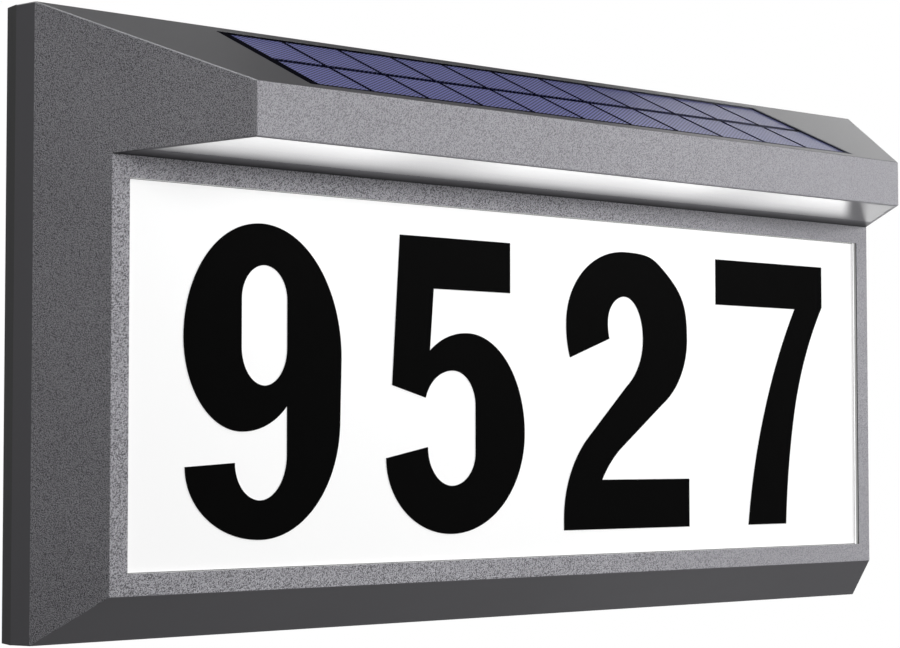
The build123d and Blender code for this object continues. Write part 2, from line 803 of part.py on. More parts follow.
with BuildPart() as switch_body:
    with BuildSketch(Plane.XZ.offset(-y_switch)):
        with Locations((button_x, button_z)):
            Rectangle(switch_size, switch_size)
            Circle(plunger_radius + plunger_gap, mode=Mode.SUBTRACT)
    extrude(amount=plunger_in + button_travel + plunger_gap)
    with BuildSketch(Plane.XZ.offset(-y_board)):
        with Locations((button_x, button_z)):
            Rectangle(switch_size, switch_size)
    extrude(amount=-(switch_height - plunger_in - button_travel - plunger_gap))
finish(switch_body, "switch_body")

# ---- Control board ----
with BuildPart() as control_board:
    with BuildSketch(board_rear):
        with Locations((board_x, button_z)):
            Rectangle(board_length, board_width)
        with Locations(*board_spots):
            Circle(board_screw_radius + fit_gap, mode=Mode.SUBTRACT)
    extrude(amount=board_thickness)
finish(control_board, "control_board")

board_screws = screws(
    board_front,
    board_spots,
    board_head_radius,
    board_head_height,
    board_screw_radius,
    board_screw_length,
)
finish(board_screws, "board_screws")

chip_x = board_x + chip_length
with BuildPart() as charge_chips:
    with BuildSketch(board_front):
        with Locations((chip_x, button_z)):
            with GridLocations(1, 2 * chip_width, 1, 2):
                Rectangle(chip_length, chip_width)
    extrude(amount=chip_height)
finish(charge_chips, "charge_chips")

coil_x = chip_x + chip_length + coil_side / 2
with BuildPart() as boost_coil:
    with BuildSketch(board_front):
        with Locations((coil_x, button_z - coil_side / 2)):
            Rectangle(coil_side, coil_side)
    extrude(amount=coil_height)
    chamfer(boost_coil.edges().filter_by(Axis.Y), length=2 * edge_round)
finish(boost_coil, "boost_coil")

with BuildPart() as capacitor:
    with BuildSketch(board_front):
        with Locations((coil_x, button_z + capacitor_radius + 1)):
            Circle(capacitor_radius)
    extrude(amount=capacitor_height)
    chamfer(capacitor.faces().sort_by(Axis.Y)[0].edges(), length=edge_round)
finish(capacitor, "capacitor")

# Sockets stand on the board's front: one opens to the battery, two open upwards
socket_left = board_x - board_length / 2 + socket_width / 2
socket_top = button_z + board_width / 2 - socket_width / 2
upper_socket_x = [board_x - socket_length, board_x + socket_length]
y_plug = y_board_front - socket_height / 2


with BuildPart() as board_sockets:
    with BuildSketch(board_front):
        with Locations((socket_left, button_z)):
            Rectangle(socket_width, socket_length)
        with Locations(*[(x, socket_top) for x in upper_socket_x]):
            Rectangle(socket_length, socket_width)
    extrude(amount=socket_height)
    with BuildSketch(board_front.offset(socket_wall)):
        with Locations((socket_left - socket_wall, button_z)):
            Rectangle(socket_width, socket_length - 2 * socket_wall)
        with Locations(*[(x, socket_top + socket_wall) for x in upper_socket_x]):
            Rectangle(socket_length - 2 * socket_wall, socket_width)
    extrude(amount=socket_height - 2 * socket_wall, mode=Mode.SUBTRACT)
finish(board_sockets, "board_sockets")

plug_wide = socket_length - 2 * socket_wall - fit_gap
plug_tall = socket_height - 2 * socket_wall - fit_gap
plug_left = socket_left + socket_width / 2 - socket_wall - plug_length
plug_top = socket_top - socket_width / 2 + socket_wall
with BuildPart() as lead_plugs:
    with BuildSketch(Plane.YZ.offset(plug_left)):
        with Locations((y_plug, button_z)):
            Rectangle(plug_tall, plug_wide)
    extrude(amount=plug_length)
    with BuildSketch(Plane.XY.offset(plug_top)):
        with Locations(*[(x, y_plug) for x in upper_socket_x]):
            Rectangle(plug_wide, plug_tall)
    extrude(amount=plug_length)
finish(lead_plugs, "lead_plugs")

# ---- Battery ----
with BuildPart() as battery_cells:
    with BuildSketch(Plane.YZ.offset(battery_x - battery_length / 2)):
        with Locations(*cell_spots):
            Circle(battery_radius)
    extrude(amount=battery_length - battery_nub_length)
    with BuildSketch(Plane.YZ.offset(battery_x + battery_length / 2 - battery_nub_length)):
        with Locations(*cell_spots):
            Circle(battery_nub_radius)
    extrude(amount=battery_nub_length)
finish(battery_cells, "battery_cells")

with BuildPart() as battery_film:
    with BuildSketch(Plane.YZ.offset(battery_x - pack_length / 2)):
        with Locations((y_pack, battery_z)):
            SlotCenterToCenter(pack_height, 2 * film_radius, rotation=90)
            inner_radius = film_radius - film_thickness
            SlotCenterToCenter(pack_height, 2 * inner_radius, rotation=90, mode=Mode.SUBTRACT)
    extrude(amount=pack_length)
finish(battery_film, "battery_film")

with BuildPart() as battery_tabs:
    for x in (battery_x - battery_length / 2 - tab_thickness, battery_x + battery_length / 2):
        with BuildSketch(Plane.YZ.offset(x)):
            with Locations((y_pack, battery_z)):
                Rectangle(tab_width, pack_height + tab_width)
        extrude(amount=tab_thickness)
finish(battery_tabs, "battery_tabs")

y_strap = y_pack - film_radius - strap_gap - strap_thickness
y_foot = y_floor - strap_post_height
with BuildPart() as battery_strap:
    with BuildSketch(Plane.YZ.offset(battery_x - strap_width / 2)):
        with BuildLine():
            inner = strap_half_z
            outer = strap_half_z + strap_thickness
            foot = outer + strap_foot
            Polyline(
                (y_foot, battery_z - inner),
                (y_foot, battery_z - foot),
                (y_foot - strap_thickness, battery_z - foot),
                (y_foot - strap_thickness, battery_z - outer),
                (y_strap, battery_z - outer),
                (y_strap, battery_z + outer),
                (y_foot - strap_thickness, battery_z + outer),
                (y_foot - strap_thickness, battery_z + foot),
                (y_foot, battery_z + foot),
                (y_foot, battery_z + inner),
                (y_strap + strap_thickness, battery_z + inner),
                (y_strap + strap_thickness, battery_z - inner),
                close=True,
            )
        make_face()
    extrude(amount=strap_width)
    with BuildSketch(Plane.XZ.offset(strap_thickness - y_foot)):
        with Locations(*strap_spots):
            Circle(board_screw_radius + fit_gap)
    extrude(amount=-strap_thickness, mode=Mode.SUBTRACT)
finish(battery_strap, "battery_strap")

strap_screws = screws(
    Plane.XZ.offset(strap_thickness - y_foot),
    strap_spots,
    board_head_radius,
    board_head_height,
    board_screw_radius,
    board_screw_length,
)
finish(strap_screws, "strap_screws")


# ---- Leads inside the housing ----
def lead(points, across):
    """A flat two-core lead along straight runs, with arcs as large as its runs allow.

    At its start its width lies along across.
    """
    radii = []
    for before, corner, after in zip(points, points[1:], points[2:]):
        arriving = corner - before
        leaving = after - corner
        shorter = min(arriving.length, leaving.length)
        radii.append(arc_share * shorter / tan(radians(arriving.get_angle(leaving)) / 2))
    with BuildPart() as ribbon:
        with BuildLine() as route:
            FilletPolyline(*points, radius=radii)
        with BuildSketch(Plane(origin=route.line @ 0, x_dir=across, z_dir=route.line % 0)):
            Rectangle(lead_width, lead_thickness)
        sweep()
    return ribbon


plug_end = plug_top + plug_length

battery_lead = lead(
    [
        Vector(battery_x + battery_length / 2 + tab_thickness, y_pack, battery_z),
        Vector(battery_x + pack_length / 2 + lead_run, y_pack, battery_z),
        Vector(plug_left - 3 * lead_run, y_plug, button_z),
        Vector(plug_left, y_plug, button_z),
    ],
    (0, 0, 1),
)
finish(battery_lead, "battery_lead")

panel_lead_depth = panel_depth + recess_floor + lead_run
panel_lead = lead(
    [
        roof.from_local_coords((panel_lead_x, panel_middle, -(panel_board + panel_cover))),
        roof.from_local_coords((panel_lead_x, panel_middle, -panel_lead_depth)),
        Vector(upper_socket_x[1] + lead_run, y_plug, z_window_high + lead_run / 2),
        Vector(upper_socket_x[1], y_plug, plug_end + 2 * lead_run),
        Vector(upper_socket_x[1], y_plug, plug_end),
    ],
    (1, 0, 0),
)
finish(panel_lead, "panel_lead")

lamp_lead_height = led_height + led_board_thickness + lead_thickness / 2 + thread_gap
lamp_lead_x = 1.5 * led_pitch
lamp_lead = lead(
    [
        soffit.from_local_coords((lamp_lead_x, led_row, lamp_lead_height)),
        soffit.from_local_coords((lamp_lead_x, led_row + 2.5 * lead_run, lamp_lead_height)),
        Vector(upper_socket_x[0], y_plug, z_window_high),
        Vector(upper_socket_x[0], y_plug, plug_end),
    ],
    (1, 0, 0),
)
finish(lamp_lead, "lamp_lead")
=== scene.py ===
"""Looks of a wall-mounted house number sign with a hooded lamp and a solar panel.

Lengths are in metres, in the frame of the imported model: X to the right as seen from the front,
Y into the wall, Z up. A value with _MM in its name is in millimetres.
"""

import math

import bpy
from mathutils import Matrix, Vector


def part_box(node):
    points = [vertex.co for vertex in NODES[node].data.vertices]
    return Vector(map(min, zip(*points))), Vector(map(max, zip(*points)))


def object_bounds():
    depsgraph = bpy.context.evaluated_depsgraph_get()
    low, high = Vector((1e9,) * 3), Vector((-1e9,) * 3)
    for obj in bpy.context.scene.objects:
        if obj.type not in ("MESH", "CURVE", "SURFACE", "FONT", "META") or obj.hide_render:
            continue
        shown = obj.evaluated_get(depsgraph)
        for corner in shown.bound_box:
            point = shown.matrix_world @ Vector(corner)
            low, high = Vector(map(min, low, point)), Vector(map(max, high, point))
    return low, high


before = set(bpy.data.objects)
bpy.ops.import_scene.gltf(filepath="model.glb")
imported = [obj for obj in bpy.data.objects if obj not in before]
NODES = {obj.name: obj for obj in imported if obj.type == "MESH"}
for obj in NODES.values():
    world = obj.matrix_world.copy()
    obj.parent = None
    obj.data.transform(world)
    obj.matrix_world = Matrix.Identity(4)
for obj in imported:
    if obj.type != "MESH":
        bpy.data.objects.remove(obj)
cad_low, cad_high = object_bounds()
MM = 0.001

# ---- Places read from the model ----
housing_low, housing_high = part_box("front_housing")
lens_low, lens_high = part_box("light_lens")
cells_low, cells_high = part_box("solar_cells")
middle = (cad_low + cad_high) / 2

# ---- Form of the housing, for the looks that follow it ----
HOOD_REACH = 30.0 * MM      # from the hood's front back to the frame round the number plate
PLATE_RECESS = 1.6 * MM     # from that frame back to the plate
ROOF_RUN = 46.7 * MM        # the roof, from the rim to the hood's front
ROOF_DROP = 21.7 * MM       # its fall over that run
ROOF_SLOPE = Vector((0.0, -ROOF_RUN, -ROOF_DROP)).normalized()

# ---- The photograph's camera ----
CAMERA_SPOT = Vector((-0.47885, -0.52404, -0.06403))
CAMERA_YAW = math.radians(41.8565)
CAMERA_PITCH = math.radians(3.0246)
CAMERA_ROLL = math.radians(-0.0209)
IMAGE_WIDTH = 900           # pixels
FOCAL_PIXELS = 2400.24
SENSOR_WIDTH_MM = 36.0


# ---- Colours ----
def linear(value):
    """One channel of a colour, given from 0 to 255 as it looks on screen, in linear light."""
    value /= 255
    return value / 12.92 if value <= 0.04045 else ((value + 0.055) / 1.055) ** 2.4


def colour(red, green, blue):
    """A colour given as it looks on screen, from 0 to 255, in linear light."""
    return (linear(red), linear(green), linear(blue), 1.0)


def grey(level):
    """A grey given in linear light, from 0 to 1."""
    return (level, level, level, 1.0)


def scaled(base, share):
    """A linear colour made darker or lighter by a share."""
    return tuple(value * share for value in base[:3]) + (1.0,)


# ---- Shader nodes ----
LINE_FADE = 0.8             # share of half a line's width over which its edge fades


class Nodes:
    """Adds nodes to the tree of a material or of the world."""

    def __init__(self, tree):
        self.tree = tree

    def add(self, kind, **settings):
        node = self.tree.nodes.new(kind)
        for name, value in settings.items():
            setattr(node, name, value)
        return node

    def put(self, socket, value):
        """Links a node's output to a socket, or writes a plain value there."""
        if isinstance(value, bpy.types.NodeSocket):
            self.tree.links.new(value, socket)
        else:
            socket.default_value = value

    def math(self, operation, *values, clamp=False):
        node = self.add("ShaderNodeMath", operation=operation, use_clamp=clamp)
        for socket, value in zip(node.inputs, values):
            self.put(socket, value)
        return node.outputs[0]

    def map_range(self, value, start, end):
        """A value that runs between the two of start, carried over to the two of end."""
        node = self.add("ShaderNodeMapRange")
        for name, limit in zip(("From Min", "From Max", "To Min", "To Max"), (*start, *end)):
            node.inputs[name].default_value = limit
        self.put(node.inputs["Value"], value)
        return node.outputs["Result"]

    def ramp(self, factor, stops, smooth=True):
        """A grey or colour that runs through stops, each a place and a value."""
        node = self.add("ShaderNodeValToRGB")
        node.color_ramp.interpolation = "EASE" if smooth else "LINEAR"
        elements = node.color_ramp.elements
        while len(elements) < len(stops):
            elements.new(1.0)
        for element, (position, value) in zip(elements, stops):
            element.position = position
            element.color = value if isinstance(value, tuple) else grey(value)
        self.put(node.inputs["Fac"], factor)
        return node.outputs["Color"]

    def mix(self, factor, first, second, blend="MIX"):
        node = self.add("ShaderNodeMix", data_type="RGBA", blend_type=blend)
        sockets = [socket for socket in node.inputs if socket.enabled]
        for socket, value in zip(sockets, (factor, first, second)):
            self.put(socket, value)
        return next(socket for socket in node.outputs if socket.enabled)

    def split(self, vector):
        """The X, Y and Z of a vector, by those names."""
        node = self.add("ShaderNodeSeparateXYZ")
        self.put(node.inputs[0], vector)
        return node.outputs


class Surface(Nodes):
    """A new material: its Principled inputs, and the place and normal of each point of a piece.

    The base colour is that of the whole, which paint or tint can replace by a finer one.
    """

    def __init__(self, name, base, roughness, specular=0.5, metallic=0.0):
        self.material = bpy.data.materials.new(name)
        self.material.use_nodes = True
        super().__init__(self.material.node_tree)
        self.inputs = self.tree.nodes["Principled BSDF"].inputs
        self.inputs["Base Color"].default_value = base
        self.inputs["Roughness"].default_value = roughness
        self.inputs["Specular IOR Level"].default_value = specular
        self.inputs["Metallic"].default_value = metallic
        coordinates = self.add("ShaderNodeTexCoord").outputs
        self.normal = coordinates["Normal"]
        self.place = coordinates["Object"]
        self.axes = self.split(self.place)

    def along(self, direction):
        """Distance of a place from the origin along a direction."""
        product = self.add("ShaderNodeVectorMath", operation="DOT_PRODUCT")
        self.put(product.inputs[0], self.place)
        self.put(product.inputs[1], direction)
        return product.outputs["Value"]

    def behind_front(self):
        """Distance of a place behind the hood's front."""
        return self.math("SUBTRACT", self.axes["Y"], housing_low.y)

    def to_right(self, end):
        """A place's X, as a share of the X of an end on the right."""
        return self.math("DIVIDE", self.axes["X"], end)

    def noise(self, size, detail=2.0, turn=0.0, stretch=1.0):
        """Noise whose features are about size across, from 0 to 1, drawn out along X turned about Y."""
        vector = self.place
        if stretch != 1.0:
            mapping = self.add("ShaderNodeMapping", vector_type="TEXTURE")
            mapping.inputs["Rotation"].default_value = (0.0, turn, 0.0)
            mapping.inputs["Scale"].default_value = (stretch, 1.0, 1.0)
            self.put(mapping.inputs["Vector"], vector)
            vector = mapping.outputs["Vector"]
        node = self.add("ShaderNodeTexNoise")
        node.inputs["Scale"].default_value = 1 / size
        node.inputs["Detail"].default_value = detail
        self.put(node.inputs["Vector"], vector)
        return node.outputs["Fac"]

    def line_mask(self, coordinate, pitch, width):
        """1 on lines of this width that repeat at a pitch along a coordinate, else 0."""
        phase = self.math("FRACT", self.math("DIVIDE", coordinate, pitch))
        distance = self.math("ABSOLUTE", self.math("SUBTRACT", phase, 0.5))
        half = width / pitch / 2
        inside = self.math("SUBTRACT", half, distance)
        return self.math("MULTIPLY_ADD", inside, 1 / (half * LINE_FADE), 0.5, clamp=True)

    def paint(self, shade):
        self.put(self.inputs["Base Color"], shade)

    def tint(self, base, factor, spread):
        """The base colour made up to this share lighter and darker by a factor from 0 to 1."""
        self.paint(self.mix(factor, scaled(base, 1 - spread), scaled(base, 1 + spread)))

    def glow(self, light, strength):
        self.put(self.inputs["Emission Color"], light)
        self.put(self.inputs["Emission Strength"], strength)

    def bump(self, height, strength, distance):
        node = self.add("ShaderNodeBump")
        node.inputs["Distance"].default_value = distance
        self.put(node.inputs["Strength"], strength)
        self.put(node.inputs["Height"], height)
        self.put(self.inputs["Normal"], node.outputs["Normal"])


def dress(node_names, surface):
    """Puts a material on every slot of these nodes."""
    for name in node_names:
        for slot in NODES[name].material_slots:
            slot.material = surface.material


# ---- Housing ----
HOUSING_GREY = colour(150, 149, 154)
COVER_GREY = colour(136, 136, 137)
# Painted highlight on the hood's edges
HOOD_EDGE_HIGHLIGHT = colour(198, 198, 202)
PAINTED_PLATE_GLOW = 0.55           # painted glow on the plate and its window, for the light that the lamp spreads over them

# Shares of the base colour
# Painted shade: the roof is painted darker than the rest
ROOF_SHADE_SHARE = 0.315
END_SHARE = 0.87
# Painted shade: the faces that look down are painted darker
DOWNWARD_SHADE_SHARE = 0.495
SMOOTH_SPREAD = 0.05
PIT_SHARE = 0.24
GROUND_SHARE = 1.54

# Which way a face looks, by its normal
STEEP = 0.5                 # grained up to this Z
LEVEL = 0.7                 # smooth from this Z on
ENDWAYS = 0.9               # an end of the sign above this X
SLANTING = 0.12             # an edge of the hood, where a highlight is painted, above this X and Z
SIDEWAYS = 0.3              # a wall of the window below this Y

GRAIN = 0.20 * MM
GRAIN_TURN = math.radians(-40)
GRAIN_STRETCH = 2.0
GRAIN_DEPTH = 0.35 * MM
GRAIN_BUMP = 0.9
SMOOTH_BUMP = 0.02
GRAIN_ROUGHNESS = 0.6
ROOF_ROUGHNESS = 0.36
PIT_STOPS = [(0.36, 0.0), (0.56, 1.0)]
CLOUD = 30.0 * MM           # slow changes of colour across a face
CLOUD_SHARE = 0.2

# Painted light: the grain goes over to an even level towards the right, and by a fixed share on the hood's
# front, which is also painted lighter
GRAIN_LIGHT_FADE_STOPS = [(0.0, 0.0), (0.8, 0.68)]
FADED_LEVEL = 0.6
FASCIA_DEPTH = 1.0 * MM
FASCIA_FADE = 0.42
FASCIA_LIT_LEVEL = 0.79

SOFFIT_SLACK = 0.02 * MM    # keeps the frame's own face out of the hood's underside
# From the hood's front to the frame, as shares of the base colour: painted light in front, painted shade
# towards the frame
SOFFIT_LIGHT_AND_SHADE_STOPS = [
    (0.00, 1.20),
    (0.72, 1.00),
    (0.76, 0.79),
    (0.82, 0.53),
    (0.87, 0.38),
    (0.92, 0.30),
    (1.00, 0.05),
]
# From the window's front edge back to the plate: painted shade, then grey, then a painted white glow
WINDOW_SHADE_AND_GLOW_STOPS = [
    (0.00, 0.03),
    (0.22, 0.05),
    (0.30, 0.24),
    (0.70, 0.27),
    (0.80, 1.00),
]


def sandy_colour(surface, base, grain, cloud, behind_front):
    """Dark pits in a lighter ground, evened out by painted light towards the right and on the hood's front,
    which is painted lighter too.
    """
    pits = surface.math("MULTIPLY", surface.ramp(grain, PIT_STOPS), 1 - CLOUD_SHARE)
    mottle = surface.math("MULTIPLY_ADD", cloud, CLOUD_SHARE, pits)
    # Painted light: the grain evens out towards the right
    fading = surface.ramp(surface.to_right(housing_high.x), GRAIN_LIGHT_FADE_STOPS)
    mottle = surface.mix(fading, mottle, grey(FADED_LEVEL))
    # Painted light: the hood's front is painted lighter, with less grain
    on_fascia = surface.math("LESS_THAN", behind_front, FASCIA_DEPTH)
    fading = surface.math("MULTIPLY", on_fascia, FASCIA_FADE)
    mottle = surface.mix(fading, mottle, grey(FASCIA_LIT_LEVEL))
    return surface.mix(mottle, scaled(base, PIT_SHARE), scaled(base, GROUND_SHARE))


def smooth_colour(surface, base, cloud, endways, behind_front):
    """Smooth plastic, with painted shade on the faces that look down but not at the ends. The hood's
    underside goes from painted light in front to painted shade at the rear.
    """
    # Painted shade on the faces that look down
    darker = scaled(base, DOWNWARD_SHADE_SHARE * (1 - SMOOTH_SPREAD))
    lighter = scaled(base, DOWNWARD_SHADE_SHARE * (1 + SMOOTH_SPREAD))
    even = surface.mix(endways, surface.mix(cloud, darker, lighter), scaled(base, END_SHARE))
    # Painted light in front and painted shade at the rear of the hood's underside
    stops = [(place, scaled(base, share)) for place, share in SOFFIT_LIGHT_AND_SHADE_STOPS]
    soffit_light_and_shade = surface.ramp(surface.math("DIVIDE", behind_front, HOOD_REACH), stops, smooth=False)
    under_hood = surface.math("LESS_THAN", behind_front, HOOD_REACH - SOFFIT_SLACK)
    return surface.mix(under_hood, even, soffit_light_and_shade)


def window_wall_shade_and_glow(surface, facing, behind_front):
    """1 on the wall round the number plate, else 0, and its painted shade and glow: dark at the frame's
    edge, white next to the plate.
    """
    behind_frame = surface.math("SUBTRACT", behind_front, HOOD_REACH)
    in_recess = surface.math("COMPARE", behind_frame, PLATE_RECESS / 2, PLATE_RECESS / 2)
    sideways = surface.math("LESS_THAN", surface.math("ABSOLUTE", facing["Y"]), SIDEWAYS)
    depth = surface.math("DIVIDE", behind_frame, PLATE_RECESS)
    whiteness = surface.ramp(depth, WINDOW_SHADE_AND_GLOW_STOPS, smooth=False)
    return surface.math("MULTIPLY", in_recess, sideways), whiteness


def hood_edge_highlight_mask(surface, rise, turned):
    """1 on edges that look both up and to a side, as between the roof and the bevels, else 0: where a
    highlight is painted.
    """
    upwards = surface.math("GREATER_THAN", rise, SLANTING)
    outwards = surface.math("GREATER_THAN", turned, SLANTING)
    return surface.math("MULTIPLY", upwards, outwards)


def moulded_plastic(name, base):
    """Sandy grain to the front, to the rear and on the bevels at the ends, smooth elsewhere. The roof and
    the faces that look down get painted shade, the hood's edges a painted highlight, and the wall round the
    plate painted shade and glow.
    """
    surface = Surface(name, base, GRAIN_ROUGHNESS, specular=0.25)
    behind_front = surface.behind_front()
    facing = surface.split(surface.normal)
    turned = surface.math("ABSOLUTE", facing["X"])
    tilt = surface.math("ABSOLUTE", facing["Z"])
    endways = surface.math("GREATER_THAN", turned, ENDWAYS)
    ungrained = surface.math("MAXIMUM", tilt, endways)
    grained = surface.ramp(ungrained, [(STEEP, 1.0), (LEVEL, 0.0)], smooth=False)
    roof = surface.ramp(facing["Z"], [(STEEP, 0.0), (LEVEL, 1.0)], smooth=False)

    grain = surface.noise(GRAIN, detail=1.0, turn=GRAIN_TURN, stretch=GRAIN_STRETCH)
    cloud = surface.noise(CLOUD)
    speckled = sandy_colour(surface, base, grain, cloud, behind_front)
    even = smooth_colour(surface, base, cloud, endways, behind_front)
    body = surface.mix(grained, even, speckled)
    # Painted shade on the roof
    body = surface.mix(roof, body, scaled(base, ROOF_SHADE_SHARE))
    # Painted highlight on the hood's edges
    body = surface.mix(hood_edge_highlight_mask(surface, facing["Z"], turned), body, HOOD_EDGE_HIGHLIGHT)
    # Painted shade and painted glow on the wall round the number plate
    in_window, whiteness = window_wall_shade_and_glow(surface, facing, behind_front)
    surface.paint(surface.mix(in_window, body, whiteness))
    surface.glow(surface.mix(in_window, grey(0.0), whiteness), PAINTED_PLATE_GLOW)

    roughness = surface.ramp(roof, [(0.0, GRAIN_ROUGHNESS), (1.0, ROOF_ROUGHNESS)], smooth=False)
    surface.put(surface.inputs["Roughness"], roughness)
    surface.bump(grain, surface.math("MULTIPLY_ADD", grained, GRAIN_BUMP, SMOOTH_BUMP), GRAIN_DEPTH)
    return surface


dress(["front_housing"], moulded_plastic("housing_plastic", HOUSING_GREY))
dress(["back_cover"], moulded_plastic("cover_plastic", COVER_GREY))


# ---- Number plate and digits ----
PLATE_SHARE = 0.42          # of white, as the plate's painted glow adds the rest
FILM_BLACK = colour(5, 5, 5)


def plate_white():
    """White reflective plate, with an even painted glow for the light that the lamp above gives it."""
    white = grey(1.0)
    base = scaled(white, PLATE_SHARE)
    surface = Surface("plate_white", base, roughness=0.5, specular=0.15)
    surface.tint(base, surface.noise(12 * MM, detail=3.0), spread=0.01)
    # Painted glow over the whole plate
    surface.glow(white, PAINTED_PLATE_GLOW)
    surface.bump(surface.noise(2.5 * MM, detail=1.0), strength=0.02, distance=0.05 * MM)
    return surface


def digit_film():
    """Black matt film."""
    surface = Surface("digit_film", FILM_BLACK, roughness=0.8, specular=0.02)
    surface.tint(FILM_BLACK, surface.noise(6 * MM), spread=0.15)
    surface.bump(surface.noise(3 * MM, detail=1.0), strength=0.03, distance=0.05 * MM)
    return surface


dress(["number_plate"], plate_white())
dress(["number_9", "number_5", "number_2", "number_7"], digit_film())


# ---- Solar panel ----
CELL_BLUE = colour(60, 60, 130)
SILICON_DARK = colour(10, 12, 64)
SILICON_LIGHT = colour(18, 22, 80)
TEXTURE_BLUE = colour(146, 149, 216)
TEXTURE_PITCH = 0.92 * MM
TEXTURE_WIDTH = 0.45 * MM
TEXTURE_LEAN = 0.7708       # across its strokes: along X, for each unit down the roof
TEXTURE_DIRECTION = (Vector((TEXTURE_LEAN, 0.0, 0.0)) + ROOF_SLOPE).normalized()
FINGER_BLUE = colour(130, 134, 186)
FINGER_PITCH = 1.88 * MM
FINGER_WIDTH = 0.5 * MM
FINGER_SHARE = 0.35
BOARD_BLUE = colour(18, 18, 40)
RESIN_BLUE = colour(120, 122, 150)
RESIN_CLEARNESS = 0.98
TOPWAYS = 0.8               # Z of the normal of the resin's face, at least

# Painted glare: all of the panel is painted paler to the right
GLARE_BLUE = colour(74, 76, 128)
GLARE_STOPS = [(0.0, 0.0), (0.45, 0.6), (1.0, 0.95)]
BORDER_GLARE_STOPS = [
    (0.05, colour(21, 21, 27)),
    (0.45, colour(60, 61, 70)),
    (1.00, colour(100, 101, 108)),
]
BOARD_GLARE_STOPS = [
    (0.05, colour(16, 16, 40)),
    (0.45, colour(56, 57, 74)),
    (1.00, colour(92, 93, 106)),
]


def solar_cells():
    """Blue-violet cells: a fine diagonal texture, and faint contact fingers that run down the slope, painted
    paler to the right as a painted glare.
    """
    surface = Surface("solar_cell", CELL_BLUE, roughness=0.34, specular=0.2)
    silicon = surface.mix(surface.noise(4 * MM), SILICON_DARK, SILICON_LIGHT)
    texture = surface.line_mask(surface.along(TEXTURE_DIRECTION), TEXTURE_PITCH, TEXTURE_WIDTH)
    silicon = surface.mix(texture, silicon, TEXTURE_BLUE)
    fingers = surface.line_mask(surface.axes["X"], FINGER_PITCH, FINGER_WIDTH)
    fingers = surface.math("MULTIPLY", fingers, FINGER_SHARE)
    silicon = surface.mix(fingers, silicon, FINGER_BLUE)
    # Painted glare on the cells
    glare = surface.ramp(surface.to_right(cells_high.x), GLARE_STOPS)
    surface.paint(surface.mix(glare, silicon, GLARE_BLUE))
    return surface


def within(surface, distance, low, high):
    """1 where a distance is between two limits, else 0."""
    off_middle = surface.math("SUBTRACT", distance, (low + high) / 2)
    return surface.math("LESS_THAN", surface.math("ABSOLUTE", off_middle), (high - low) / 2)


def panel_resin():
    """Resin that is clear over the cells, and dark round them and on its edges, painted paler to the right
    as a painted glare.
    """
    surface = Surface("panel_resin", RESIN_BLUE, roughness=0.3, specular=0.0)
    slope_low, slope_high = sorted((cells_low.dot(ROOF_SLOPE), cells_high.dot(ROOF_SLOPE)))
    across = within(surface, surface.axes["X"], cells_low.x, cells_high.x)
    down = within(surface, surface.along(ROOF_SLOPE), slope_low, slope_high)
    rise = surface.math("ABSOLUTE", surface.split(surface.normal)["Z"])
    on_face = surface.math("GREATER_THAN", rise, TOPWAYS)
    clear = surface.math("MULTIPLY", on_face, surface.math("MULTIPLY", across, down))
    # Painted glare on the dark border
    border = surface.ramp(surface.to_right(cells_high.x), BORDER_GLARE_STOPS)
    surface.paint(surface.mix(clear, border, RESIN_BLUE))
    clearness = surface.math("MULTIPLY", clear, RESIN_CLEARNESS)
    surface.put(surface.inputs["Alpha"], surface.math("SUBTRACT", 1.0, clearness))
    surface.bump(surface.noise(8 * MM, detail=1.0), strength=0.04, distance=0.05 * MM)
    return surface


def panel_board():
    """Dark board that shows in the gaps between the cells, painted paler to the right as a painted glare."""
    surface = Surface("panel_board", BOARD_BLUE, roughness=0.5, specular=0.0)
    # Painted glare on the board
    surface.paint(surface.ramp(surface.to_right(cells_high.x), BOARD_GLARE_STOPS))
    return surface


dress(["solar_cells"], solar_cells())
dress(["panel_window"], panel_resin())
dress(["panel_backing"], panel_board())

# ---- Lamp ----
# From the hood's front towards the frame
GLOW_STOPS = [
    (0.00, 0.90),
    (0.07, 0.85),
    (0.22, 0.75),
    (0.37, 0.63),
    (0.52, 0.455),
    (0.57, 0.37),
    (0.72, 0.10),
    (0.76, 0.03),
]
GLOW_END_X = 104.0 * MM     # the glow's right end, at the hood's front
GLOW_END_LEAN = 37.0 * MM   # how much further right it ends at the frame
GLOW_END_FADE = 7.0 * MM
DIM_X = 60.0 * MM           # to each side of the middle, between two groups of lamps
DIM_HALF = 30.0 * MM
DIM_SHARE = 0.20
SPARKLE_STOPS = [(0.3, 0.93), (0.7, 1.0)]


def lit_lens():
    """Opal lens, brightest over the lamps at its front, with its glow gone at the rear and the right."""
    surface = Surface("lit_lens", HOUSING_GREY, roughness=0.45, specular=0.35)
    grain = surface.noise(GRAIN, detail=1.0)
    surface.tint(HOUSING_GREY, grain, spread=0.12)
    depth = surface.math("DIVIDE", surface.behind_front(), HOOD_REACH)
    end = surface.math("MULTIPLY_ADD", depth, GLOW_END_LEAN, GLOW_END_X)
    inside = surface.math("SUBTRACT", end, surface.axes["X"])
    inside = surface.math("DIVIDE", inside, GLOW_END_FADE, clamp=True)
    aside = surface.math("SUBTRACT", surface.math("ABSOLUTE", surface.axes["X"]), DIM_X)
    aside = surface.math("DIVIDE", surface.math("ABSOLUTE", aside), DIM_HALF, clamp=True)
    shares = (
        surface.ramp(inside, [(0.0, 0.0), (1.0, 1.0)]),
        surface.ramp(aside, [(0.0, 1 - DIM_SHARE), (1.0, 1.0)]),
        surface.ramp(grain, SPARKLE_STOPS),
    )
    light = surface.ramp(depth, GLOW_STOPS, smooth=False)
    for share in shares:
        light = surface.mix(1.0, light, share, "MULTIPLY")
    surface.glow(light, 1.0)
    surface.bump(grain, strength=0.2, distance=0.15 * MM)
    return surface


